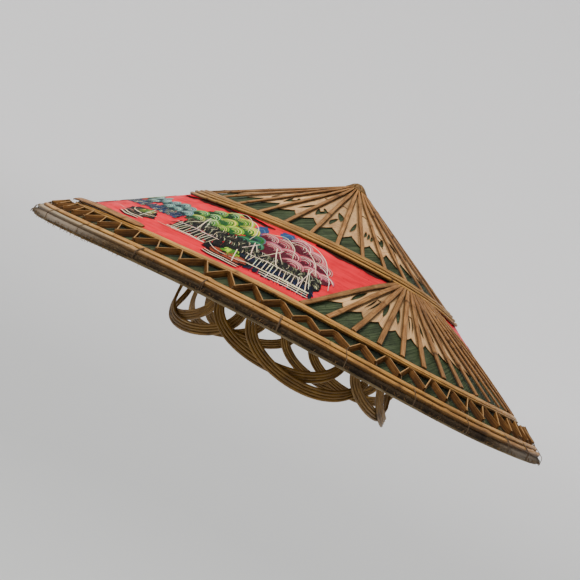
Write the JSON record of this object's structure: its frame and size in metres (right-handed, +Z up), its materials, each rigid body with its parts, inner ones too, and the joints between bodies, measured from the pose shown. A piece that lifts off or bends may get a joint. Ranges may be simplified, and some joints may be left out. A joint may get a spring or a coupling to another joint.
{
  "type": "conical hat",
  "caption": "Wide conical bamboo hat with painted leaf panels, ribbed fans, stacked rim hoops and an open rattan headband of overlapping loops.",
  "frame": {"origin": "centre of the rim plane, on the hat's axis", "axes": "+Z up along the hat's axis towards the apex; the front painted panel faces -Y; +X is the wearer's left"},
  "size_m": [0.46, 0.46, 0.1751],
  "materials": {
    "lining": "matt woven split bamboo",
    "leaf_green": "matt green-dyed dry leaf",
    "leaf_tan": "matt dry bamboo sheath leaf with cut holes",
    "painted_leaf": "satin red lacquer with a painted landscape",
    "rib_bamboo": "split bamboo, aged brown",
    "hoop_bamboo": "polished split bamboo",
    "zigzag_bamboo": "dark split bamboo with pale cut edges",
    "rim_bamboo": "golden split bamboo",
    "rim_bark": "weathered grey-brown bark",
    "straw": "dry straw",
    "rattan": "brown rattan strands"
  },
  "bodies": {
    "root": {"woven_lining": "lining", "leaf_cover": "leaf_green", "crown_leaf": "leaf_tan", "fan_leaf_left": "leaf_tan", "fan_leaf_right": "leaf_tan", "painted_panel_front": "painted_leaf", "painted_panel_back": "painted_leaf", "upper_hoop": "hoop_bamboo", "mid_hoop": "hoop_bamboo", "mid_hoop_splice": "hoop_bamboo", "fan_ribs_left": "rib_bamboo", "fan_ribs_right": "rib_bamboo", "zigzag_strip": "zigzag_bamboo", "rim_hoop_upper": "rim_bamboo", "rim_hoop_lower": "rim_bamboo", "rim_edge_band": "rim_bark", "rim_base_hoop": "rim_bark", "apex_cap": "straw", "apex_tie": "straw", "headband_ring_outer": "rattan", "headband_ring_inner": "rattan", "crown_rib_pair_01": "rib_bamboo", "crown_rib_pair_02": "rib_bamboo", "crown_rib_pair_03": "rib_bamboo", "crown_rib_pair_04": "rib_bamboo", "crown_rib_pair_05": "rib_bamboo", "crown_rib_pair_06": "rib_bamboo", "crown_rib_pair_07": "rib_bamboo", "crown_rib_pair_08": "rib_bamboo", "crown_rib_pair_09": "rib_bamboo", "crown_rib_pair_10": "rib_bamboo", "crown_rib_pair_11": "rib_bamboo", "crown_rib_pair_12": "rib_bamboo", "crown_rib_pair_13": "rib_bamboo", "crown_rib_pair_14": "rib_bamboo", "crown_rib_pair_15": "rib_bamboo", "crown_rib_pair_16": "rib_bamboo", "crown_rib_pair_17": "rib_bamboo", "headband_loop_01": "rattan", "headband_loop_02": "rattan", "headband_loop_03": "rattan", "headband_loop_04": "rattan", "headband_loop_05": "rattan", "headband_loop_06": "rattan", "headband_loop_07": "rattan", "headband_loop_08": "rattan", "headband_loop_09": "rattan", "headband_loop_10": "rattan"}
  },
  "joints": []
}
